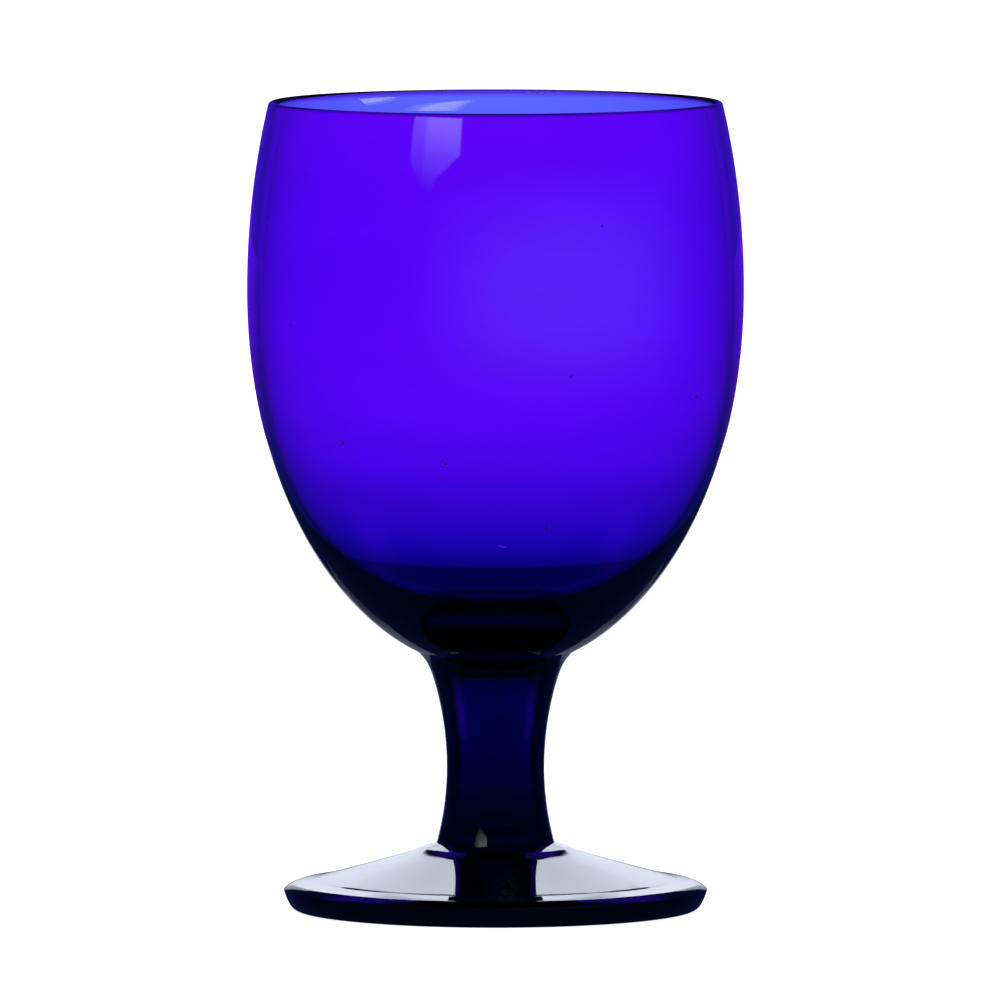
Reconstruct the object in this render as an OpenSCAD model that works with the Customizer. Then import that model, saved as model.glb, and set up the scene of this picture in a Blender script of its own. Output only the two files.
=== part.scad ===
// Stemmed drinking glass in dark blue glass: an egg-shaped bowl, a waisted solid stem
// and a shallow conical foot, three gathers joined hot, face to face.
// Every piece is a body of revolution about Z, in millimetres. The foot rests on z = 0.

/* [Bowl] */
// Outside diameter of the bowl at its widest ring
bowl_d = 89; // [80:0.5:104]
// How far the rim is drawn in from the widest ring, on the radius
rim_draw = 3.8; // [1:0.1:9]
// Height from the widest ring up to the top of the rim
shoulder_h = 33.8; // [24:0.1:46]
// Height from the widest ring down to the lowest point of the bowl's egg
belly_depth = 68.2; // [58:0.1:80]
// Wall of the bowl just below the rounded rim
rim_wall = 1.4; // [0.9:0.1:2.6]
// Wall of the bowl at its widest ring
belly_wall = 1.7; // [1.2:0.1:3]
// Depth of glass under the hollow of the bowl, on the axis
floor_depth = 8; // [6:0.1:14]

/* [Stem] */
// Length of the stem on the axis, from the foot up to the lowest point of the bowl's egg
stem_len = 31; // [24:0.5:60]
// Diameter of the stem at its waist
waist_d = 17.6; // [12:0.1:24]
// Height of the waist above the foot
waist_rise = 13.5; // [8:0.1:20]
// How far the stem spreads from its waist down to the foot, on the radius
base_flare = 1.8; // [0:0.1:5]
// How far the stem spreads in its long sweep up to the bowl, on the radius
neck_flare = 4.1; // [1:0.1:7]
// How far the short lip that grips the bowl spreads further, on the radius
neck_lip = 1.4; // [0.2:0.1:4]

/* [Foot] */
// Diameter of the foot
foot_d = 76; // [66:0.5:90]
// Height of the foot where the stem stands on it
foot_rise = 12; // [8:0.1:18]
// Height of the low pad on the foot that the stem stands on
pad_rise = 0.7; // [0.2:0.1:1.5]
// How far the pad reaches out past the stem, on the radius
pad_reach = 2.7; // [1:0.1:5]
// Width of the fillet in which the pad melts into the foot
pad_melt = 3; // [1:0.1:5]
// Height of the foot's edge
edge_rise = 4.3; // [3:0.1:6]
// Radius that the upper corner of the foot's edge is melted to
edge_round = 0.7; // [0.3:0.1:1.4]
// How far the foot's edge draws in from its upper corner down to the table, on the radius
edge_draw = 2.7; // [1:0.1:6]
// Width of the flat ring that the glass stands on
bearing_w = 3.2; // [1.5:0.1:8]
// Height of the hollow under the foot, on the axis
hollow_rise = 1.1; // [0.4:0.1:3]

/* [Hidden] */
$fn = 128;
// Straight steps that stand for each round stretch of an outline
steps = 24;
lip_steps = 8;
// Powers of the egg and of its hollow: 2 is an ellipse, and more is fuller
egg_power = 2.04;
hollow_power = 2.3;
// Power of the stem's sweep into the foot and the bowl, and of the short lip that grips the bowl
sweep_power = 2;
lip_power = 16;
// Power of the foot's rise from its edge, and of the pad's fillet
rise_power = 1.12;
melt_power = 2;
// Lean of the foot's edge where the melted corner starts, in degrees
edge_lean = 18;

bowl_r = bowl_d / 2;
rim_r = bowl_r - rim_draw;
waist_r = waist_d / 2;
stem_base_r = waist_r + base_flare;
seat_r = waist_r + neck_flare + neck_lip;
foot_r = foot_d / 2;
bearing_r = foot_r - edge_draw;
pad_r = stem_base_r + pad_reach;
melt_r = pad_r + pad_melt;

waist_z = foot_rise + waist_rise;
egg_z = foot_rise + stem_len;
belly_z = egg_z + belly_depth;
top_z = belly_z + shoulder_h;

// Below its widest ring the egg turns from 0 there to 90 degrees at its lowest point
function egg_point(turn, radius, depth, power) =
    [radius * pow(cos(turn), 2 / power), belly_z - depth * pow(sin(turn), 2 / power)];
seat_turn = acos(pow(seat_r / bowl_r, egg_power / 2));
seat_z = egg_point(seat_turn, bowl_r, belly_depth, egg_power)[1];
rim_turn = acos(rim_r / bowl_r);
// The rim's wall leans in by this angle, and the round lip on it turns with it
rim_lean = atan2(bowl_r * sin(rim_turn) * sin(rim_turn), shoulder_h * cos(rim_turn));
lip_r = rim_wall / 2;
lip_c = [rim_r - lip_r * cos(rim_lean), top_z - lip_r];
crown_h = (lip_c[1] + lip_r * sin(rim_lean) - belly_z) / sin(rim_turn);
hollow_r = bowl_r - belly_wall;
hollow_depth = belly_depth - floor_depth;

// Equal shares of a stretch, both ends counted, and the values at them
function shares(count) = [for (i = [0:count]) i / count];
function stretch(from, to, count) = [for (s = shares(count)) from + (to - from) * s];
// A line without its last point, where the next line begins with the same one
function open_end(line) = [for (i = [0:len(line) - 2]) line[i]];
function reversed(line) = [for (i = [len(line) - 1:-1:0]) line[i]];

// The egg's outside below the widest ring, from one turn to another
function belly_line(from, to) =
    [for (turn = stretch(from, to, steps)) egg_point(turn, bowl_r, belly_depth, egg_power)];
// The part of the egg that sits in the stem's cup: bowl and stem share these points
cup_line = belly_line(90, seat_turn);

// Above the widest ring an ellipse draws in to the rim, set in by a wall measured square to it
function crown_point(turn, wall) =
    let (slope = atan2(bowl_r * sin(turn), crown_h * cos(turn)))
    [bowl_r * cos(turn) - wall * cos(slope), belly_z + crown_h * sin(turn) - wall * sin(slope)];
crown_outside = [for (s = shares(steps)) crown_point(rim_turn * s, 0)];
crown_inside = [for (s = shares(steps))
    crown_point(rim_turn * s, belly_wall + (rim_wall - belly_wall) * s * s)];
// The fire-polished lip is half a circle over the wall's end
lip_line = [for (s = shares(lip_steps)) let (turn = rim_lean + 180 * s)
    lip_c + lip_r * [cos(turn), sin(turn)]];
// The hollow is a fuller and shallower egg, which leaves the floor thick and the wall thin
hollow_line = [for (turn = stretch(0, 90, 2 * steps))
    egg_point(turn, hollow_r, hollow_depth, hollow_power)];

// Radius of the stem at a height: a sweep each way from the waist, and the lip at the top
function stem_radius(z) =
    z < waist_z
        ? waist_r + base_flare * pow((waist_z - z) / waist_rise, sweep_power)
        : let (u = (z - waist_z) / (seat_z - waist_z))
            waist_r + neck_flare * pow(u, sweep_power) + neck_lip * pow(u, lip_power);
// The steps crowd towards the top, where the lip turns fastest
stem_line = concat(
    [for (s = shares(steps)) let (z = foot_rise + waist_rise * s) [stem_radius(z), z]],
    [for (s = shares(2 * steps)) if (s > 0)
        let (z = waist_z + (seat_z - waist_z) * (1 - pow(1 - s, sweep_power))) [stem_radius(z), z]]);

// The foot's edge swells out from the table, turns over the melted corner and rises to the stem
corner_c = [foot_r - edge_round, edge_rise - edge_round];
foot_slope = atan2(foot_rise - edge_rise, foot_r - stem_base_r);
corner_line = [for (s = shares(lip_steps)) let (turn = -edge_lean + (90 - foot_slope + edge_lean) * s)
    corner_c + edge_round * [cos(turn), sin(turn)]];
swell_line = [for (s = shares(steps))
    [bearing_r + (corner_line[0][0] - bearing_r) * sqrt(s), corner_line[0][1] * s]];
// The foot's top rises from its corner to the pad, whose fillet ends in a ledge round the stem
top_corner = corner_line[lip_steps];
function pad_share(r) = min(1, max(0, (melt_r - r) / pad_melt));
function foot_top(r) = top_corner[1]
    + (foot_rise - pad_rise - top_corner[1])
        * pow((top_corner[0] - r) / (top_corner[0] - stem_base_r), rise_power)
    + pad_rise * pow(pad_share(r), melt_power);
top_line = [for (r = concat(
        open_end(stretch(top_corner[0], melt_r, steps)), open_end(stretch(melt_r, pad_r, lip_steps)),
        stretch(pad_r, stem_base_r, lip_steps)))
    [r, foot_top(r)]];
underside_r = bearing_r - bearing_w;
underside_line = [for (s = shares(steps)) [underside_r * s, hollow_rise * (1 - s * s)]];

module turned(outline) {
    rotate_extrude() polygon(outline);
}

// Blown bowl: egg outside, hollow inside, thick floor and a round fire-polished rim
module bowl() {
    color([0.30, 0.00, 0.93])
        turned(concat(
            open_end(cup_line), open_end(belly_line(seat_turn, 0)), open_end(crown_outside),
            open_end(lip_line), open_end(reversed(crown_inside)), hollow_line));
}

// Solid stem: flat below on the foot, a cup above that follows the bowl's egg
module stem() {
    color([0.05, 0.01, 0.32])
        turned(concat([[0, foot_rise]], open_end(stem_line), reversed(cup_line)));
}

// Foot: shallow cone with a thick edge and a low pad, standing on a flat ring round a shallow hollow
module foot() {
    color([0.04, 0.03, 0.16])
        turned(concat(
            underside_line, open_end(swell_line), open_end(corner_line), top_line, [[0, foot_rise]]));
}

bowl();
stem();
foot();
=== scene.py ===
import math

import bpy
import numpy as np
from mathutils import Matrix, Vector


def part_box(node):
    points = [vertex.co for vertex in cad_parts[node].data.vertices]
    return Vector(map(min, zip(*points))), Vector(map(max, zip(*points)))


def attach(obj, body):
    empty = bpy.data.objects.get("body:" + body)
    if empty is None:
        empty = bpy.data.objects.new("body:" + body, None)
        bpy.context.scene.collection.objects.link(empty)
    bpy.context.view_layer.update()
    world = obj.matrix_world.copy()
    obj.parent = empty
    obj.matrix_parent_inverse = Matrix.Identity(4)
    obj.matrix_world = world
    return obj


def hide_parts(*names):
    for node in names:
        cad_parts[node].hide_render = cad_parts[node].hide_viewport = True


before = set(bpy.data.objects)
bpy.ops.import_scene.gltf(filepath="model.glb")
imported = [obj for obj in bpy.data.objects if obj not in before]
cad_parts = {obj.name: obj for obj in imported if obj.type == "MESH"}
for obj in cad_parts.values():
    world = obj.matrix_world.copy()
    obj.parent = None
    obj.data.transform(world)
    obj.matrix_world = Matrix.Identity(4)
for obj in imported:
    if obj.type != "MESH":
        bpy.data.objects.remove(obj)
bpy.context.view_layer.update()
BOWL_BOX, STEM_BOX, FOOT_BOX = (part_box(node) for node in ("bowl", "stem", "foot"))

bl_info = {
    "name": "Cobalt Goblet",
    "version": (1, 0, 0),
    "blender": (4, 5, 0),
    "location": "3D View > Sidebar > Goblet",
    "description": "Builds a stemmed goblet of cobalt blue glass piece by piece, and its studio",
    "category": "Object",
}

MM = 0.001
GLASS_IOR = 1.52
# Width at the glass of a pixel of the picture, which is 1000 pixels wide
PIXEL = 0.1791 * MM
PICTURE_WIDTH = 1000 * PIXEL
WHITE = (1.0, 1.0, 1.0, 1.0)

# Painted shade on the bowl by height in metres. The thick bottom swallows light that crosses it,
# and this ramp paints that shade into the base colour as well, so it deepens downwards; a
# painted violet line marks the polished lip.
BOWL_PAINTED_SHADE = ((0.046, "#4A546A"), (0.051, "#8CA2BA"), (0.056, "#C0DEF0"), (0.062, "#D8FCFF"),
             (0.075, "#E1FFFF"), (0.085, "#EAFFFF"), (0.095, "#F7FFFF"), (0.105, "#FFFFFF"),
             (0.1436, "#FFFFFF"), (0.1443, "#FFA0FF"))
# Brightness of the backdrop, seen through one wall, by the upward part of the direction
BACKDROP = ((0.0, 0.45), (0.04, 0.52), (0.09, 0.62), (0.17, 0.95), (0.5, 1.0), (0.6, 1.0),
            (0.7, 0.1))
# Brightness of the table by distance from the glass in metres, seen through one wall
TABLE_ONE_WALL = ((0.0, 0.03), (0.045, 0.05), (0.06, 0.1), (0.11, 0.17), (0.16, 0.26),
                  (0.33, 0.31), (0.55, 0.37), (1.2, 0.42), (2.0, 0.5))
# The same through the bowl, inside and outside the disc of shade
SHADED_TABLE = ((0.0, 0.5), (0.073, 0.36), (0.1, 0.16))
TABLE_TWO_WALLS = ((0.18, 0.37), (0.215, 0.455), (0.285, 0.535), (0.38, 0.63), (0.48, 0.665),
                   (0.6, 0.775), (0.8, 0.88), (1.1, 0.92), (1.5, 1.0))
SHADE_EDGE = (0.105, 0.27)


# Sizes and colours


def linear(hex_colour):
    """An sRGB hex colour as linear red, green and blue."""
    parts = np.array([int(hex_colour[i:i + 2], 16) for i in (1, 3, 5)]) / 255
    return tuple(np.where(parts <= 0.04045, parts / 12.92, ((parts + 0.055) / 1.055) ** 2.4))


def length(name, description, millimetres, **more):
    """A length property, in metres, from its default in millimetres."""
    return bpy.props.FloatProperty(
        name=name, description=description, default=millimetres * MM, min=0.0,
        unit="LENGTH", precision=4, **more)


def amount(name, description, default, **more):
    """A plain number property."""
    return bpy.props.FloatProperty(name=name, description=description, default=default, **more)


def taken_out(description, per_mm):
    """What each millimetre of a glass takes out of red, green and blue light."""
    return bpy.props.FloatVectorProperty(
        name="Taken out per mm", description=description, default=per_mm, min=0.0, size=3)


def light_colour(name, description, hex_colour, strength=1.0):
    """A colour property, from sRGB hex, brighter than white where the strength is over 1."""
    return bpy.props.FloatVectorProperty(
        name=name, description=description, size=3, subtype="COLOR", min=0.0, max=4.0,
        default=[strength * float(part) for part in linear(hex_colour)])


class BowlSizes(bpy.types.PropertyGroup):
    """The bowl is an egg outside, and a fuller, shallower egg inside."""
    rim_draw: length("Rim draw", "How far the rim is drawn in from the widest ring", 3.8)
    shoulder: length("Shoulder", "Height from the widest ring up to the rim", 33.8)
    belly_wall: length("Belly wall", "Wall at the widest ring", 1.7)
    rim_wall: length("Rim wall", "Wall just below the polished rim", 1.4)
    floor: length("Floor", "Depth of glass under the hollow, on the axis", 8.0)
    egg_power: amount("Egg fullness", "Power of the egg's curve: 2 is an ellipse", 2.04, min=1.5)
    hollow_power: amount("Hollow fullness", "Power of the hollow's curve", 2.3, min=1.5)
    outer_wave: length("Outer wave", "Depth of the wave that blowing left outside", 0.03)
    inner_wave: length("Inner wave", "Depth of the wave that blowing left inside", 0.06)
    absorption: taken_out("Cobalt takes out red and green and lets blue through",
                          (0.36, 1.4, 0.004))


class StemSizes(bpy.types.PropertyGroup):
    """The stem sweeps out from its waist to the foot and to the bowl."""
    waist_radius: length("Waist radius", "Radius of the stem at its waist", 8.8)
    waist_rise: length("Waist rise", "Height of the waist above the foot", 13.5)
    base_flare: length("Base flare", "How far the stem spreads down to the foot", 1.8)
    neck_flare: length("Neck flare", "How far the stem spreads up to the bowl", 4.1)
    lip_power: amount("Lip power", "Power of the short lip that grips the bowl", 16.0, min=2.0)
    wave: length("Wave", "Depth of the wave that drawing left", 0.015)
    absorption: taken_out("The same batch, solid, so it looks nearly black", (0.5, 1.5, 0.18))


class FootSizes(bpy.types.PropertyGroup):
    """The foot is a shallow cone with a thick melted edge and a low pad under the stem."""
    edge_rise: length("Edge rise", "Height of the foot's widest ring", 3.5)
    edge_width: length("Edge width", "Width of the melted edge, seen from above", 2.2)
    edge_fullness: amount("Edge fullness", "Power of the melted edge: 1 is a bevel", 1.3, min=1.0)
    edge_draw: length("Edge draw", "How far the side draws in down to the table", 2.7)
    edge_power: amount("Side fullness", "Power of the side's curve, low for a full side", 0.4)
    cone_rise: length("Cone rise", "Height at which the cone would meet the edge", 4.3)
    cone_edge: length("Cone edge", "How far in from the widest ring that height is", 0.8)
    groove: length("Groove", "Depth of the faint groove inside the edge", 0.035)
    groove_in: length("Groove in", "How far in from the widest ring the groove starts", 6.2)
    bead_rise: length("Bead rise", "Rise of the flat bead outside the groove", 0.25)
    pad_rise: length("Pad rise", "Height of the pad that the stem stands on", 0.3)
    pad_reach: length("Pad reach", "How far the pad reaches out past the stem", 2.7)
    pad_melt: length("Pad melt", "Width of the fillet round the pad", 3.0)
    rise_power: amount("Rise power", "Power of the foot's rise from its edge", 1.12, min=1.0)
    bearing: length("Bearing", "Width of the flat ring that the glass stands on", 3.2)
    hollow: length("Hollow", "Height of the hollow under the foot", 1.1)
    wave: length("Wave", "Depth of the wave that casting left", 0.015)
    absorption: taken_out("The same batch, solid", (0.5, 1.5, 0.2))


class StudioSettings(bpy.types.PropertyGroup):
    """Table, surroundings, lamp and camera."""
    table_radius: length("Table radius", "Radius of the round pale table", 3000.0)
    table_colour: light_colour("Table colour", "Colour of the matt table top", "#E7E7E7")
    shade_radius: length("Shade radius", "Radius of the disc of table in the glass's own shade, "
                         "as seen through the bowl", 142.0)
    one_wall: light_colour("Seen through one wall", "Light from the surroundings through one "
                           "wall or solid glass", "#71FDFF", 2.0)
    two_walls: light_colour("Seen through the bowl", "Colour of the surroundings through both "
                            "walls of the bowl", "#A03FFF")
    room: light_colour("Room", "Colour of the dim room that reflections see", "#121F50")
    far_room: light_colour("Far room", "Colour of the room beyond the glass, which its sides "
                           "mirror", "#591DDA")
    lamp_power: bpy.props.FloatProperty(
        name="Lamp power", description="Power of the soft overhead lamp", default=6.0,
        min=0.0, unit="POWER")
    camera_distance: length("Camera distance", "Distance of the camera from the glass", 3436.0)
    camera_height: length("Camera height", "Height of the camera above the table", 335.0)
    aim_height: length("Aim height", "Height of the point that the camera looks at", 73.5)
    aim_right: length("Aim right", "How far right of the glass's axis the camera stands", 0.8)


# Nodes and glass


def add(tree, kind, sockets=None, stops=(), **settings):
    """Adds one node with its settings. sockets holds values, or outputs to link, by input, and
    stops holds the positions and linear colours of a ramp, from low to high."""
    made = tree.nodes.new(kind)
    for name, value in settings.items():
        setattr(made, name, value)
    for key, value in (sockets or {}).items():
        if isinstance(value, bpy.types.NodeSocket):
            tree.links.new(value, made.inputs[key])
        else:
            made.inputs[key].default_value = value
    if stops:
        ramp = made.color_ramp.elements
        ramp.remove(ramp[1])
        for i, (position, colour) in enumerate(stops):
            stop = ramp.new(position) if i else ramp[0]
            stop.position, stop.color = position, (*colour, 1.0)
    return made


def new_material(name):
    """A material whose node tree is still empty, and that tree."""
    material = bpy.data.materials.new(name)
    material.use_nodes = True
    material.node_tree.nodes.clear()
    return material, material.node_tree


def cobalt_glass(name, absorption, painted_shade=(), cord=0.04, haze=0.012):
    """Soda-lime glass coloured in the batch with cobalt oxide, fire-polished, so the surface is
    smooth and the colour comes from the depth of glass that the light crosses, and from painted
    shade where painted_shade is given.
    painted_shade holds (height, sRGB hex) stops of painted shade that darken the base colour
    further by height. cord is the strength of the faint cords, streaks of denser glass that
    gathering leaves, and haze the roughness that handling leaves in cloudy patches."""
    material, tree = new_material(name)
    place = add(tree, "ShaderNodeTexCoord").outputs["Object"]
    # Cords lie round the piece, about 9 mm apart up its height and 30 mm long
    stretched = add(tree, "ShaderNodeMapping", {0: place, "Scale": (33.0, 33.0, 110.0)})
    cords = add(tree, "ShaderNodeTexNoise", {
        0: stretched.outputs[0], "Scale": 1.0, "Detail": 3.0, "Roughness": 0.45,
        "Distortion": 0.6}, noise_dimensions="3D")
    shade = add(tree, "ShaderNodeMapRange", {
        0: cords.outputs[0], 1: 0.35, 2: 0.65, 3: 1.0 - cord, 4: 1.0}).outputs[0]
    colour = add(tree, "ShaderNodeCombineColor", {0: shade, 1: shade, 2: shade}).outputs[0]
    # Painted shade: a ramp by height darkens the base colour further
    if painted_shade:
        low, high = painted_shade[0][0], painted_shade[-1][0]
        height = add(tree, "ShaderNodeSeparateXYZ", {0: place}).outputs[2]
        share = add(tree, "ShaderNodeMapRange", {0: height, 1: low, 2: high}).outputs[0]
        ramp = add(tree, "ShaderNodeValToRGB", {0: share}, stops=[
            ((level - low) / (high - low), linear(hex_colour)) for level, hex_colour in painted_shade])
        colour = add(tree, "ShaderNodeMix", {0: 1.0, 6: ramp.outputs[0], 7: colour},
                     data_type="RGBA", blend_type="MULTIPLY").outputs[2]
    # Cloudy patches about 12 mm across, from fingers and a cloth
    clouds = add(tree, "ShaderNodeTexNoise", {0: place, "Scale": 80.0, "Detail": 2.0})
    rough = add(tree, "ShaderNodeMapRange", {
        0: clouds.outputs[0], 1: 0.45, 2: 0.75, 3: 0.0, 4: haze}).outputs[0]
    surface = add(tree, "ShaderNodeBsdfPrincipled", {
        "Base Color": colour, "Roughness": rough, "IOR": GLASS_IOR,
        "Transmission Weight": 1.0})
    density = max(absorption) / MM
    volume = add(tree, "ShaderNodeVolumeAbsorption", {
        "Color": (*(1.0 - part / MM / density for part in absorption), 1.0), "Density": density})
    add(tree, "ShaderNodeOutputMaterial", {
        "Surface": surface.outputs[0], "Volume": volume.outputs[0]})
    return material


# Shapes


def egg(turn, radius, depth, power, ring_height):
    """Outline below a widest ring, from turn 0 there to a quarter turn at the lowest point.
    The radius goes with the cosine of the turn and the drop with its sine, each raised to
    2 / power, so power 2 is an ellipse and more is fuller."""
    return np.stack([radius * np.abs(np.cos(turn)) ** (2 / power),
                     ring_height - depth * np.abs(np.sin(turn)) ** (2 / power)], 1)


def wave(around, height):
    """A smooth wave between 0 and 1: five sines that run round the axis and up it at different
    rates, as breath and gravity leave in hot glass."""
    rates = ((2, 31, 0.3), (3, -47, 1.7), (5, 83, 4.1), (7, -129, 2.6), (4, 211, 5.2))
    parts = sum(np.sin(m * around + f * height + p) for m, f, p in rates)
    return 0.5 + 0.5 * parts / len(rates)


def new_object(name, points, faces):
    """An object at the origin, from its points and the corners of each face."""
    mesh = bpy.data.meshes.new(name)
    mesh.from_pydata(points.reshape(-1, 3).tolist(), [], faces)
    made = bpy.data.objects.new(name, mesh)
    bpy.context.scene.collection.objects.link(made)
    return made


def ring_faces(rows, around):
    """Faces of a closed skin: rings of points from the lowest up, then one point that closes the
    lowest ring and one that closes the highest. Every face points outwards."""
    here = np.arange(around)
    there = (here + 1) % around
    row = np.arange(rows - 1)[:, None] * around
    quads = np.stack([row + here, row + there, row + around + there, row + around + here],
                     -1).reshape(-1, 4)
    low, high, last = rows * around, rows * around + 1, (rows - 1) * around
    caps = np.concatenate([np.stack([np.full(around, low), there, here], 1),
                           np.stack([np.full(around, high), last + here, last + there], 1)])
    return quads, caps


def turned(name, outline, depth, around=256):
    """A closed surface of revolution. outline holds radius and height, from the axis below, out
    and up, back to the axis. Point (i, j) is outline point i turned j / around of a full turn
    about Z, its radius drawn in by depth i times the wave. depth is how deep the wave is at
    each outline point, and it fades out within 6 mm of the axis. Edges that turn by more than
    24 degrees stay crisp."""
    radius, height = outline[1:-1, 0], outline[1:-1, 1]
    turn = 2 * np.pi * np.arange(around) / around
    fade = np.minimum(1.0, radius / (6 * MM)) * np.asarray(depth)[1:-1]
    drawn = radius[:, None] - fade[:, None] * wave(turn[None], height[:, None])
    points = np.stack([drawn * np.cos(turn), drawn * np.sin(turn),
                       np.repeat(height[:, None], around, 1)], -1).reshape(-1, 3)
    ends = [[0, 0, outline[0, 1]], [0, 0, outline[-1, 1]]]
    quads, caps = ring_faces(len(radius), around)
    piece = new_object(name, np.concatenate([points, ends]), quads.tolist() + caps.tolist())
    piece.data.shade_smooth()
    piece.data.set_sharp_from_angle(angle=math.radians(24))
    return piece


def finish_piece(piece, material, slot, *nodes):
    """Gives a piece its glass and its place on the body. slot is not used."""
    piece.data.materials.append(material)
    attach(piece, "root")
    if nodes:
        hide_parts(*nodes)


def join(*lines):
    """Outline stretches end to end, each without the point that the next one starts with."""
    return np.concatenate([line[:-1] for line in lines[:-1]] + [lines[-1]])


def seat(scene):
    """Turn and height of the ring where the bowl leaves the stem's cup."""
    sizes = scene.goblet_bowl
    radius, depth = BOWL_BOX[1].x, BOWL_BOX[1].z - sizes.shoulder - BOWL_BOX[0].z
    turn = math.acos((STEM_BOX[1].x / radius) ** (sizes.egg_power / 2))
    return turn, egg(np.array([turn]), radius, depth, sizes.egg_power, BOWL_BOX[0].z + depth)[0, 1]


class GOBLET_OT_blow_bowl(bpy.types.Operator):
    """Blows the bowl: egg outside, fuller egg inside, thick floor and a polished rim"""
    bl_idname = "goblet.blow_bowl"
    bl_label = "Blow bowl"

    def execute(self, context):
        sizes = context.scene.goblet_bowl
        radius, low, top = BOWL_BOX[1].x, BOWL_BOX[0].z, BOWL_BOX[1].z
        ring = top - sizes.shoulder
        depth = ring - low
        rim = radius - sizes.rim_draw
        if rim <= 0 or depth <= sizes.floor:
            raise ValueError("The bowl is too small for its rim draw or its floor")
        rim_turn = math.acos(rim / radius)
        lean = math.atan2(radius * math.sin(rim_turn) ** 2, sizes.shoulder * math.cos(rim_turn))
        lip = sizes.rim_wall / 2
        middle = np.array([rim - lip * math.cos(lean), top - lip])
        crown = (middle[1] + lip * math.sin(lean) - ring) / math.sin(rim_turn)

        def shoulder(turn, wall):
            """Ellipse above the widest ring, set in by the wall square to the curve."""
            slope = np.arctan2(radius * np.sin(turn), crown * np.cos(turn))
            return np.stack([radius * np.cos(turn) - wall * np.cos(slope),
                             ring + crown * np.sin(turn) - wall * np.sin(slope)], 1)

        share = np.linspace(0, 1, 65)
        seat_turn = seat(context.scene)[0]
        cup = egg(np.linspace(math.pi / 2, seat_turn, 41), radius, depth, sizes.egg_power, ring)
        side = egg(seat_turn * (1 - share), radius, depth, sizes.egg_power, ring)
        outside = shoulder(rim_turn * share, 0 * share)
        inside = shoulder(
            rim_turn * share, sizes.belly_wall + (sizes.rim_wall - sizes.belly_wall) * share ** 2)
        over = lean + np.linspace(0, math.pi, 25)
        rim_line = middle + lip * np.stack([np.cos(over), np.sin(over)], 1)
        hollow = egg(np.linspace(0, math.pi / 2, 129), radius - sizes.belly_wall,
                     depth - sizes.floor, sizes.hollow_power, ring)
        outline = join(cup, side, outside, rim_line, inside[::-1], hollow)
        outline[[0, -1], 0] = 0.0
        # The wave starts above the cup, where the stem grips the bowl, is whole 12 mm further up
        # and calms over the last 9 mm below the rim. Inside starts halfway over the lip.
        halfway = len(cup) + len(side) + len(outside) + len(rim_line) // 2
        within = np.arange(len(outline)) >= halfway
        clear = np.clip((outline[:, 1] - seat(context.scene)[1]) / (12 * MM), 0, 1)
        calm = np.clip((top - outline[:, 1]) / (9 * MM), 0, 1)
        wave_depth = np.where(within, sizes.inner_wave, sizes.outer_wave * clear) * calm
        bowl = turned("blown_bowl", outline, wave_depth)
        # The bowl's glass takes painted shade by height, darker towards its thick bottom
        finish_piece(bowl, cobalt_glass("blown_cobalt_glass", sizes.absorption, BOWL_PAINTED_SHADE),
                     "bowl_glass", "bowl")
        return {"FINISHED"}


class GOBLET_OT_draw_stem(bpy.types.Operator):
    """Draws the stem: solid, waisted, with a cup above that follows the bowl's egg"""
    bl_idname = "goblet.draw_stem"
    bl_label = "Draw stem"

    def execute(self, context):
        sizes, bowl = context.scene.goblet_stem, context.scene.goblet_bowl
        foot_top, egg_low = STEM_BOX[0].z, BOWL_BOX[0].z
        waist = foot_top + sizes.waist_rise
        seat_turn, seat_height = seat(context.scene)
        if waist >= seat_height:
            raise ValueError("The stem's waist lies above the seat of the bowl")
        share = np.linspace(0, 1, 49)
        below = np.stack([sizes.waist_radius + sizes.base_flare * (1 - share) ** 2,
                          foot_top + sizes.waist_rise * share], 1)
        rise = 1 - (1 - np.linspace(0, 1, 97)) ** 2
        lip = STEM_BOX[1].x - sizes.waist_radius - sizes.neck_flare
        above = np.stack([sizes.waist_radius + sizes.neck_flare * rise ** 2
                          + lip * rise ** sizes.lip_power,
                          waist + (seat_height - waist) * rise], 1)
        ring = BOWL_BOX[1].z - bowl.shoulder
        cup = egg(np.linspace(seat_turn, math.pi / 2, 41), BOWL_BOX[1].x, ring - egg_low,
                  bowl.egg_power, ring)
        # Melted into each other: the stem runs a hair into the bowl above and the foot below
        melt = 0.03 * MM
        outline = join(np.array([[0, foot_top], [below[0, 0], foot_top]]), below, above, cup)
        outline[-len(cup):, 1] += melt
        outline[:2, 1] -= melt
        outline[[0, -1], 0] = 0.0
        middle = np.sin(math.pi * np.clip((outline[:, 1] - foot_top) / (seat_height - foot_top),
                                          0, 1))
        stem = turned("drawn_stem", outline, sizes.wave * middle)
        finish_piece(stem, cobalt_glass("drawn_cobalt_glass", sizes.absorption),
                     "stem_glass", "stem")
        return {"FINISHED"}


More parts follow.
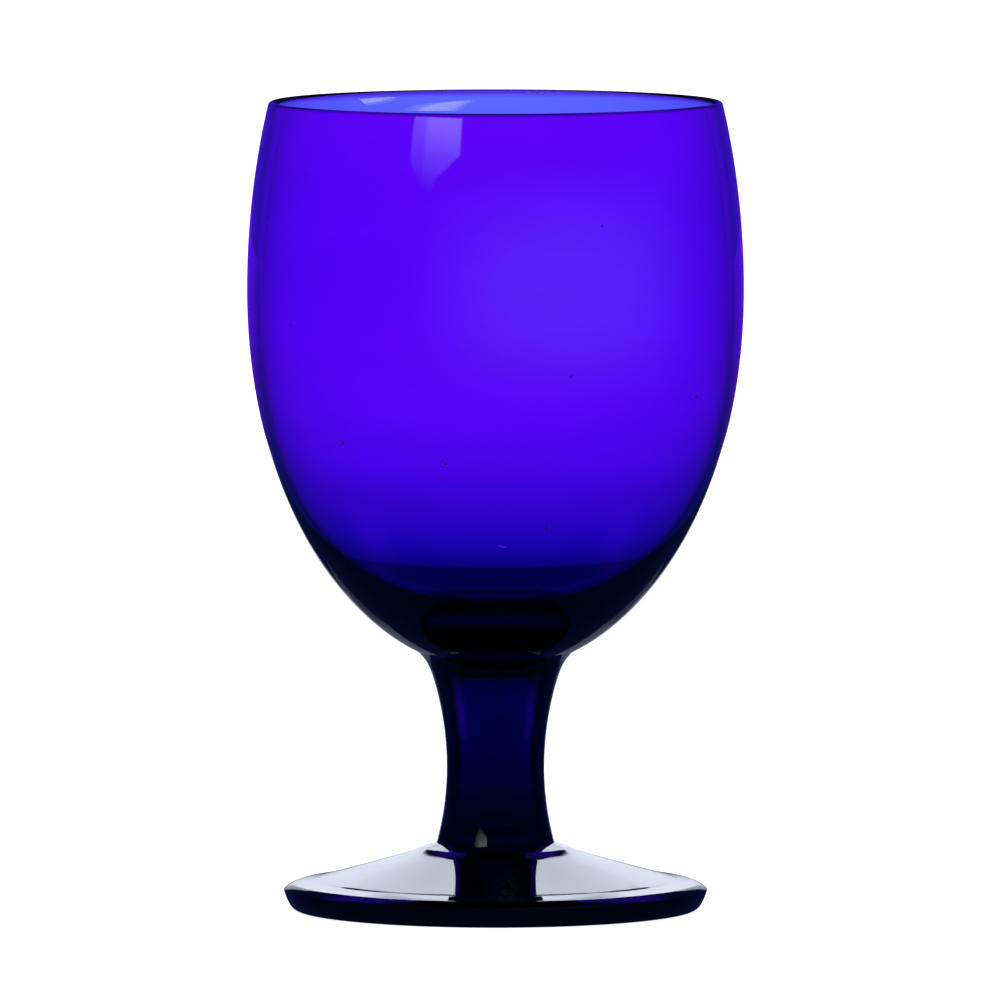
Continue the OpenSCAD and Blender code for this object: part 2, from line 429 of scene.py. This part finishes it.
class GOBLET_OT_cast_foot(bpy.types.Operator):
    """Casts the foot: shallow cone, thick melted edge, low pad, and a ring to stand on"""
    bl_idname = "goblet.cast_foot"
    bl_label = "Cast foot"

    def execute(self, context):
        sizes, stem = context.scene.goblet_foot, context.scene.goblet_stem
        radius, top = FOOT_BOX[1].x, FOOT_BOX[1].z
        stem_base = stem.waist_radius + stem.base_flare
        share = np.linspace(0, 1, 49)
        melt_start = radius - sizes.edge_width
        pad = stem_base + sizes.pad_reach
        cone_edge = radius - sizes.cone_edge
        if melt_start <= pad + sizes.pad_melt:
            raise ValueError("The foot is too narrow for its edge and its pad")
        groove_width, bead_width = 0.8 * MM, 3.2 * MM

        def top_height(out):
            """Height of the top, from the melted edge in to the stem: a slow rise, a faint
            groove with a flat bead outside it, and the fillet of the pad."""
            rise = np.clip((cone_edge - out) / (cone_edge - stem_base), 0, 1)
            melt = np.clip((pad + sizes.pad_melt - out) / sizes.pad_melt, 0, 1)
            groove = np.clip((out - radius + sizes.groove_in) / groove_width, 0, 1)
            bead = np.clip((out - radius + sizes.groove_in - groove_width) / bead_width, 0, 1)
            return (sizes.cone_rise + (top - sizes.pad_rise - sizes.cone_rise)
                    * rise ** sizes.rise_power + sizes.pad_rise * melt ** 2
                    - sizes.groove * (3 - 2 * groove) * groove ** 2 + sizes.bead_rise * bead)

        # A full curve from the widest ring up and in, then the top
        edge_top = top_height(np.array([melt_start]))[0]
        turn = np.linspace(0, math.pi / 2, 25)
        bend = 2 / sizes.edge_fullness
        edge = np.stack([melt_start + sizes.edge_width * np.abs(np.cos(turn)) ** bend,
                         sizes.edge_rise + (edge_top - sizes.edge_rise) * np.sin(turn) ** bend], 1)
        table = radius - sizes.edge_draw
        side = np.stack([table + sizes.edge_draw * share ** sizes.edge_power,
                         sizes.edge_rise * share], 1)
        inner = table - sizes.bearing
        under = np.stack([inner * share, sizes.hollow * (1 - share ** 2)], 1)
        out = np.concatenate([np.linspace(melt_start, pad + sizes.pad_melt, 145)[:-1],
                              np.linspace(pad + sizes.pad_melt, pad, 33)[:-1],
                              np.linspace(pad, stem_base, 17)])
        over_line = np.stack([out, top_height(out)], 1)
        outline = join(under, side, edge, over_line, np.array([[stem_base, top], [0, top]]))
        outline[[0, -1], 0] = 0.0
        foot = turned("cast_foot", outline, sizes.wave
                      * np.clip((outline[:, 1] - edge_top) / (3 * MM), 0, 1))
        finish_piece(foot, cobalt_glass("cast_cobalt_glass", sizes.absorption),
                     "foot_glass", "foot")
        return {"FINISHED"}


class GOBLET_OT_leave_seeds(bpy.types.Operator):
    """Leaves a few seeds, the tiny bubbles that stay in hand-worked glass"""
    bl_idname = "goblet.leave_seeds"
    bl_label = "Leave seeds"

    def execute(self, context):
        sizes = context.scene.goblet_bowl
        ring = BOWL_BOX[1].z - sizes.shoulder
        depth = ring - BOWL_BOX[0].z
        # Direction round the axis in degrees, height and half length, in millimetres
        seeds = np.array([(-131.4, 86.2, 0.42), (-75.2, 71.2, 0.36), (-72.0, 98.6, 0.22),
                          (28.0, 91.0, 0.34), (63.0, 120.0, 0.26), (104.0, 77.0, 0.40),
                          (151.0, 104.0, 0.24), (-158.0, 125.0, 0.22), (172.0, 66.0, 0.34)])
        around = np.radians(seeds[:, 0])
        height, half = seeds[:, 1] * MM, seeds[:, 2] * MM
        turn = np.arcsin(np.clip((ring - height) / depth, 0, 1) ** (sizes.egg_power / 2))
        outer = np.where(height < ring, BOWL_BOX[1].x * np.cos(turn) ** (2 / sizes.egg_power),
                         BOWL_BOX[1].x - sizes.rim_draw * ((height - ring) / sizes.shoulder) ** 2)
        middle = outer - sizes.belly_wall * 0.48
        # Each seed is an ellipsoid, drawn out round the wall and pressed flat through it
        rows, columns = 11, 20
        u, v = np.meshgrid(np.linspace(math.pi, 0, rows + 2)[1:-1],
                           np.arange(columns) * 2 * math.pi / columns, indexing="ij")
        ball = np.stack([np.sin(u) * np.cos(v), np.sin(u) * np.sin(v), np.cos(u)], -1)
        ball = np.concatenate([ball.reshape(-1, 3), [[0, 0, -1], [0, 0, 1]]])
        ball = ball * np.array([0.62, 1.0, 0.8])
        outward = np.stack([np.cos(around), np.sin(around)], 1)
        spots = ball[None] * half[:, None, None]
        points = np.stack([
            (middle[:, None] + spots[..., 0]) * outward[:, :1] - spots[..., 1] * outward[:, 1:],
            (middle[:, None] + spots[..., 0]) * outward[:, 1:] + spots[..., 1] * outward[:, :1],
            height[:, None] + spots[..., 2]], -1)
        first = np.arange(len(seeds))[:, None, None] * len(ball)
        quads, caps = ((faces[None] + first).reshape(-1, faces.shape[1]).tolist()
                       for faces in ring_faces(rows, columns))
        piece = new_object("seeds", points, quads + caps)
        piece.data.shade_smooth()
        finish_piece(piece, trapped_air(), "bowl_glass")
        return {"FINISHED"}


def trapped_air():
    """A bubble in glass bends light as strongly as a drop would, and its skin is a mirror at the
    sides, so it shows as a dark ring with a bright middle."""
    material, tree = new_material("trapped_air")
    place = add(tree, "ShaderNodeTexCoord").outputs["Object"]
    skin = add(tree, "ShaderNodeTexNoise", {0: place, "Scale": 900.0, "Detail": 1.0})
    rough = add(tree, "ShaderNodeMapRange", {0: skin.outputs[0], 3: 0.0, 4: 0.02}).outputs[0]
    surface = add(tree, "ShaderNodeBsdfPrincipled", {
        "Base Color": (*linear("#E4E8FF"), 1.0), "Roughness": rough, "IOR": 1.45,
        "Transmission Weight": 1.0})
    add(tree, "ShaderNodeOutputMaterial", {"Surface": surface.outputs[0]})
    return material


# Studio


def by_ray(tree, kind, base, *levels):
    """Mixes plain light over a shader for one kind of ray after another. levels holds (Light
    Path output, colour, strength). Rays through glass come last, because a sharp one counts as
    glossy too."""
    path = add(tree, "ShaderNodeLightPath")
    for ray, colour, strength in levels:
        light = add(tree, kind, {0: colour, 1: strength})
        base = add(tree, "ShaderNodeMixShader", {
            0: path.outputs[ray], 1: base, 2: light.outputs[0]}).outputs[0]
    return base


def through_walls(tree, settings):
    """How far a ray has come through more than one wall, from 0 to 1, and the colour of the
    surroundings that it sees. One wall shows them cooler, as a camera draws a light cobalt.
    Light that was thrown back inside thick glass has come a long way in it, so it is nearly
    used up."""
    path = add(tree, "ShaderNodeLightPath").outputs
    walls = add(tree, "ShaderNodeMapRange", {0: path["Transmission Depth"], 1: 2.4, 2: 3.4})
    left = add(tree, "ShaderNodeMapRange", {0: path["Glossy Depth"], 1: 0.2, 2: 1.3, 3: 1.15,
                                            4: 0.02})
    colour = add(tree, "ShaderNodeMix", {
        0: walls.outputs[0], 6: (*settings.one_wall, 1.0), 7: (*settings.two_walls, 1.0)},
        data_type="RGBA").outputs[2]
    colour = add(tree, "ShaderNodeVectorMath", {0: colour, "Scale": left.outputs[0]},
                 operation="SCALE")
    return walls.outputs[0], colour.outputs[0]


def between_cloths(tree, back):
    """How bright the surroundings are through one wall: full straight behind the glass, and dim
    beside it, where a glass photographer hangs black cloth. back is the backward part of the
    direction, and the cloth starts about 35 degrees to each side."""
    return add(tree, "ShaderNodeMapRange", {0: back, 1: 0.80, 2: 0.86, 3: 0.08, 4: 1.0},
               interpolation_type="SMOOTHSTEP").outputs[0]


def studio_world(settings):
    """White surroundings between black cloths. The camera sees plain white, and reflections see
    a dim blue room. Light through one wall or solid glass sees the backdrop, lit from above,
    between the cloths, which draw the dark lines down the stem's sides. Light through both
    walls of the bowl sees white near the horizon."""
    world = bpy.data.worlds.new("studio")
    bpy.context.scene.world = world
    world.use_nodes = True
    tree = world.node_tree
    tree.nodes.clear()
    way = add(tree, "ShaderNodeTexCoord").outputs["Generated"]
    y, z = add(tree, "ShaderNodeSeparateXYZ", {0: way}).outputs[1:]
    backdrop = add(tree, "ShaderNodeValToRGB", {0: z}, stops=[
        (upward, (level,) * 3) for upward, level in BACKDROP]).outputs[0]
    one_wall = add(tree, "ShaderNodeMath", {0: between_cloths(tree, y), 1: backdrop},
                   operation="MULTIPLY").outputs[0]
    horizon = add(tree, "ShaderNodeMapRange", {0: z, 1: 0.052, 2: 0.156, 3: 1.0, 4: 0.02},
                  interpolation_type="SMOOTHSTEP").outputs[0]
    walls, colour = through_walls(tree, settings)
    through = add(tree, "ShaderNodeMix", {0: walls, 2: one_wall, 3: horizon}).outputs[0]
    base = add(tree, "ShaderNodeBackground", {0: WHITE, 1: 0.9}).outputs[0]
    base = by_ray(tree, "ShaderNodeBackground", base,
                  ("Is Camera Ray", WHITE, 1.0),
                  ("Is Glossy Ray", (*settings.room, 1.0), 1.0),
                  ("Is Transmission Ray", colour, through))
    add(tree, "ShaderNodeOutputWorld", {0: base})


def lacquered_table(settings):
    """Matt white lacquer on board. The camera sees it as white as the backdrop, with a soft grey
    shadow where the glass stands. Seen through the glass it shows a painted shade that darkens
    towards the foot, and reflections see it as dim as the room, with painted light in the far
    room's colour behind the glass, from half a metre out."""
    material, tree = new_material("white_lacquered_board")
    place = add(tree, "ShaderNodeTexCoord").outputs["Object"]
    away = add(tree, "ShaderNodeVectorMath", {0: place}, operation="LENGTH").outputs["Value"]
    # The shade that the bowl shows is half as wide as it is deep
    wide = add(tree, "ShaderNodeVectorMath", {0: place, 1: (2.0, 1.0, 1.0)},
               operation="MULTIPLY").outputs["Vector"]
    wide = add(tree, "ShaderNodeVectorMath", {0: wide}, operation="LENGTH").outputs["Value"]
    # Both distances become shares of the table's radius
    span, shade_radius = settings.table_radius, settings.shade_radius
    away, wide = (add(tree, "ShaderNodeMath", {0: distance, 1: span}, operation="DIVIDE").outputs[0]
                  for distance in (away, wide))
    # Painted shade: the table's light, seen through the glass, dims towards the foot
    one_wall = add(tree, "ShaderNodeValToRGB", {0: away}, stops=[
        (out / span, (level,) * 3) for out, level in TABLE_ONE_WALL]).outputs[0]
    shade_edge = zip((shade_radius - MM, shade_radius + MM), SHADE_EDGE)
    two_walls = add(tree, "ShaderNodeValToRGB", {0: wide}, stops=[
        (out / span, (level,) * 3)
        for out, level in (*SHADED_TABLE, *shade_edge, *TABLE_TWO_WALLS)]).outputs[0]
    # The cloths dim the table too, so the stem's dark sides run down to the foot
    aim = add(tree, "ShaderNodeVectorMath", {0: place}, operation="NORMALIZE").outputs["Vector"]
    behind = between_cloths(tree, add(tree, "ShaderNodeSeparateXYZ", {0: aim}).outputs[1])
    one_wall = add(tree, "ShaderNodeMath", {0: behind, 1: one_wall},
                   operation="MULTIPLY").outputs[0]
    walls, colour = through_walls(tree, settings)
    shade = add(tree, "ShaderNodeMix", {0: walls, 2: one_wall, 3: two_walls}).outputs[0]
    grain = add(tree, "ShaderNodeTexNoise", {0: place, "Scale": 700.0, "Detail": 2.0})
    bump = add(tree, "ShaderNodeBump", {"Strength": 0.05, "Distance": 0.0002,
                                        "Height": grain.outputs[0]})
    matt = add(tree, "ShaderNodeBsdfDiffuse", {
        0: (*settings.table_colour, 1.0), "Normal": bump.outputs[0]}).outputs[0]
    seen = add(tree, "ShaderNodeEmission", {0: WHITE, 1: 0.8}).outputs[0]
    seen = add(tree, "ShaderNodeAddShader", {0: matt, 1: seen}).outputs[0]
    path = add(tree, "ShaderNodeLightPath")
    base = add(tree, "ShaderNodeMixShader", {
        0: path.outputs["Is Camera Ray"], 1: matt, 2: seen}).outputs[0]
    # Painted light: reflections see the table behind the glass, from half a metre out, in the far
    # room's colour
    far = add(tree, "ShaderNodeMapRange", {0: away, 1: 0.45 / span, 2: 1.0 / span}).outputs[0]
    far = add(tree, "ShaderNodeMath", {0: behind, 1: far}, operation="MULTIPLY").outputs[0]
    room = add(tree, "ShaderNodeMix", {0: far, 6: (*settings.room, 1.0),
                                       7: (*settings.far_room, 1.0)}, data_type="RGBA").outputs[2]
    base = by_ray(tree, "ShaderNodeEmission", base,
                  ("Is Glossy Ray", room, 1.0),
                  ("Is Transmission Ray", colour, shade))
    add(tree, "ShaderNodeOutputMaterial", {0: base})
    return material


class GOBLET_OT_set_stage(bpy.types.Operator):
    """Sets the pale table, the soft lamps, the surroundings and the camera"""
    bl_idname = "goblet.set_stage"
    bl_label = "Set stage"

    def execute(self, context):
        settings = context.scene.goblet_studio
        if settings.camera_distance <= 2 * BOWL_BOX[1].x:
            raise ValueError("The camera stands too close to the glass")
        self.add_table(settings)
        studio_world(settings)
        self.add_panels()
        self.add_lamp(context, settings)
        self.add_camera(context, settings)
        context.scene.view_settings.view_transform = "Standard"
        cycles = context.scene.cycles
        cycles.max_bounces = cycles.transmission_bounces = 24
        cycles.glossy_bounces = 16
        return {"FINISHED"}

    def add_table(self, settings):
        """One flat round face, whose material draws the shade seen through the glass."""
        corners = 128
        turn = 2 * np.pi * np.arange(corners) / corners
        edge = settings.table_radius * np.stack([np.cos(turn), np.sin(turn), 0 * turn], 1)
        table = new_object("table", edge, [list(range(corners))])
        table.data.materials.append(lacquered_table(settings))

    def add_panels(self):
        """Lit cloths and cards that the glass mirrors, each a grid whose points and brightness
        follow from across and over, which run from 0 to 1."""
        across, over = np.meshgrid(np.linspace(0, 1, 65), np.linspace(0, 1, 65), indexing="ij")
        hump = np.sin(np.pi * across) * np.sin(np.pi * over)
        # A window between curtains that part upwards, with a dimmer pane outside
        rise = 0.7 * over - 0.025
        right = np.interp(rise, (-0.015, 0.11, 0.19, 0.28), (0.55, 0.45, 0.25, 0.03))
        left = np.interp(rise, (-0.015, 0.03, 0.19), (0.6, 0.72, 0.97))
        window = np.interp(rise, (-0.015, 0.03, 0.11, 0.19, 0.265, 0.34, 0.5),
                           (0, 0.05, 0.27, 0.68, 0.95, 1.5, 2.5))
        window = window * np.interp(across, (0.68, 0.74), (1.0, 0.55))
        window = window * np.clip(np.minimum(across - right, left - across) / 0.04 + 0.5, 0, 1)
        self.add_panel("window_softbox", "#FFFFFF",
                       self.round_bowl(16.6 + 26.4 * across, 11.5 + 14 * over, 1.6), window)
        # The pale wall across the room, on the right
        self.add_panel("room_glow", "#60FFD8",
                       self.round_bowl(40 - 134 * across, 52 * over - 25, 0.1), 0.38 * hump ** 2)
        # Violet curtains behind at each side, which the bowl's sides mirror
        turn = np.radians(120 * across - 60)
        drape = np.clip((np.abs(turn) - 0.26) / 0.1, 0, 1) * np.interp(
            over, (0, 0.25, 0.85, 1), (0, 1, 1, 0))
        self.add_panel("curtains", "#5000FF", np.stack(
            [0.13 * np.sin(turn), 0.13 * np.cos(turn), 0.085 + 0.125 * over], -1), 0.8 * drape)
        # Violet cards on the table at each side, which the stem's neck mirrors as streaks
        turn, reach = np.radians(40 * across - 32), 0.06 + 0.08 * over
        for name, side, level in (("left_card", -1, 1.3), ("right_card", 1, 1.0)):
            self.add_panel(name, "#5400FF", np.stack(
                [side * reach * np.cos(turn), reach * np.sin(turn), 0 * over + 0.0008], -1),
                level * hump ** 2)
        # A white card in the mouth of the bowl, which the far wall mirrors at the rim. It widens
        # away from the wall's focus. Its place is in millimetres.
        slide = -0.36 - (0.026 + 0.292 * over) * (4.84 + 9.9 * across)
        white = np.interp(across, (0, 0.12, 0.2, 0.65, 0.72, 0.82, 0.97, 1),
                          (0, 1.2, 3.3, 4.9, 4.6, 2.0, 0.9, 0))
        self.add_panel("mouth_card", "#FFFFFF", MM * np.stack(
            [slide, 23.6 + 3.4 * over, 0 * over + 135], -1), white * np.clip(over / 0.15, 0, 1))
        # A card that lies behind the glass and turns up: it lights the foot and the low flanks.
        # reach is its half width and shine its brightness, both by height.
        flat = np.clip(over / 0.3, 0, 1)
        up = np.clip((over - 0.3) / 0.7, 0, 1)
        points = np.stack([0.115 * (2 * across - 1), 0.07 + 0.08 * flat, 0.0006 + 0.16 * up], -1)
        side, height = np.abs(points[..., 0]), points[..., 2]
        reach = np.where(up <= 0, 0.055 + 0.05 * flat, np.interp(
            height, (0.001, 0.008, 0.03, 0.065, 0.075, 0.125, 0.135, 0.156),
            (0.105, 0.068, 0.07, 0.07, 0.049, 0.045, 0.028, 0.016)))
        shine = np.interp(height, (0.0006, 0.008, 0.02, 0.045, 0.06, 0.12, 0.139, 0.143),
                          (0.2, 0.8, 1.5, 2.2, 2.6, 3.4, 4.0, 0))
        shine = shine * np.clip((reach - side) / (5 * MM), 0, 1)
        # A grey patch in its middle, which the foot's bead mirrors, and greyer wings
        low = np.interp(height, (0.045, 0.053, 0.072, 0.08), (0, 1, 1, 0))
        shine = shine * (1 - 0.5 * low * np.clip((0.032 - side) / 0.006, 0, 1))
        shine = shine * (1 - 0.55 * np.clip((side - 0.05) / (8 * MM), 0, 1))
        self.add_panel("bounce_card", "#E6EDFA", points, shine)

    def round_bowl(self, left, up, distance):
        """Points at a distance round the bowl, from degrees left of front and above level."""
        turn, rise = np.radians(left), np.radians(up)
        way = np.stack([-np.sin(turn) * np.cos(rise), -np.cos(turn) * np.cos(rise),
                        np.sin(rise)], -1)
        return distance * way + (0, 0, 0.11)

    def add_panel(self, name, colour, points, level):
        """A lit panel seen only as a highlight: a grid of points, each with its brightness."""
        rows, columns = level.shape
        corner = (np.arange(rows - 1)[:, None] * columns + np.arange(columns - 1)).reshape(-1)
        faces = np.stack([corner, corner + columns, corner + columns + 1, corner + 1], 1)
        panel = new_object(name, points, faces.tolist())
        stored = panel.data.attributes.new("level", "FLOAT", "POINT")
        stored.data.foreach_set("value", level.reshape(-1))
        material, tree = new_material(name + "_cloth")
        lit = add(tree, "ShaderNodeAttribute", attribute_name="level").outputs["Fac"]
        light = add(tree, "ShaderNodeEmission", {0: (*linear(colour), 1.0), 1: lit})
        clear = add(tree, "ShaderNodeBsdfTransparent")
        light = add(tree, "ShaderNodeAddShader", {0: light.outputs[0], 1: clear.outputs[0]})
        # Light through the glass passes the panel
        through = add(tree, "ShaderNodeLightPath").outputs["Is Transmission Ray"]
        light = add(tree, "ShaderNodeMixShader", {
            0: through, 1: light.outputs[0], 2: clear.outputs[0]})
        add(tree, "ShaderNodeOutputMaterial", {0: light.outputs[0]})
        panel.data.materials.append(material)
        for ray in ("camera", "diffuse", "transmission", "shadow"):
            setattr(panel, "visible_" + ray, False)

    def add_lamp(self, context, settings):
        """A wide soft lamp overhead, which neither reflections nor light in the glass see."""
        lamp = bpy.data.lights.new("overhead_softbox", "AREA")
        lamp.shape, lamp.size, lamp.energy = "DISK", 1.4, settings.lamp_power
        hung = bpy.data.objects.new("overhead_softbox", lamp)
        hung.location = (0.0, 0.3, 1.8)
        hung.rotation_euler = (Vector((0, 0, 0.05)) - hung.location).to_track_quat(
            "-Z", "Y").to_euler()
        hung.visible_transmission = hung.visible_glossy = False
        context.scene.collection.objects.link(hung)

    def add_camera(self, context, settings):
        """A long lens at the photograph's angle, whose picture is PICTURE_WIDTH at the glass."""
        eye = bpy.data.cameras.new("camera")
        camera = bpy.data.objects.new("camera", eye)
        camera.location = (settings.aim_right, -settings.camera_distance, settings.camera_height)
        sight = Vector((settings.aim_right, 0.0, settings.aim_height)) - camera.location
        camera.rotation_euler = sight.to_track_quat("-Z", "Y").to_euler()
        eye.sensor_width = 36.0
        eye.lens = eye.sensor_width * sight.length / PICTURE_WIDTH
        eye.clip_end = 100.0
        context.scene.collection.objects.link(camera)
        context.scene.camera = camera


# Panel and registration

SETTINGS = (("goblet_bowl", BowlSizes), ("goblet_stem", StemSizes), ("goblet_foot", FootSizes),
            ("goblet_studio", StudioSettings))
STEPS = (GOBLET_OT_blow_bowl, GOBLET_OT_draw_stem, GOBLET_OT_cast_foot, GOBLET_OT_leave_seeds,
         GOBLET_OT_set_stage)


class GOBLET_PT_workshop(bpy.types.Panel):
    """Every step, each above the sizes it uses"""
    bl_idname = "GOBLET_PT_workshop"
    bl_label = "Goblet"
    bl_space_type = "VIEW_3D"
    bl_region_type = "UI"
    bl_category = "Goblet"

    def draw(self, context):
        for step in STEPS:
            self.layout.operator(step.bl_idname)
        for name, group in SETTINGS:
            box = self.layout.box()
            for setting in group.__annotations__:
                box.prop(getattr(context.scene, name), setting)


def register():
    for name, group in SETTINGS:
        bpy.utils.register_class(group)
        setattr(bpy.types.Scene, name, bpy.props.PointerProperty(type=group))
    for kind in (*STEPS, GOBLET_PT_workshop):
        bpy.utils.register_class(kind)


def unregister():
    for kind in (GOBLET_PT_workshop, *reversed(STEPS)):
        bpy.utils.unregister_class(kind)
    for name, group in SETTINGS:
        delattr(bpy.types.Scene, name)
        bpy.utils.unregister_class(group)


def main():
    register()
    bpy.ops.goblet.blow_bowl()
    bpy.ops.goblet.draw_stem()
    bpy.ops.goblet.cast_foot()
    bpy.ops.goblet.leave_seeds()
    bpy.ops.goblet.set_stage()


if __name__ == "__main__":
    main()
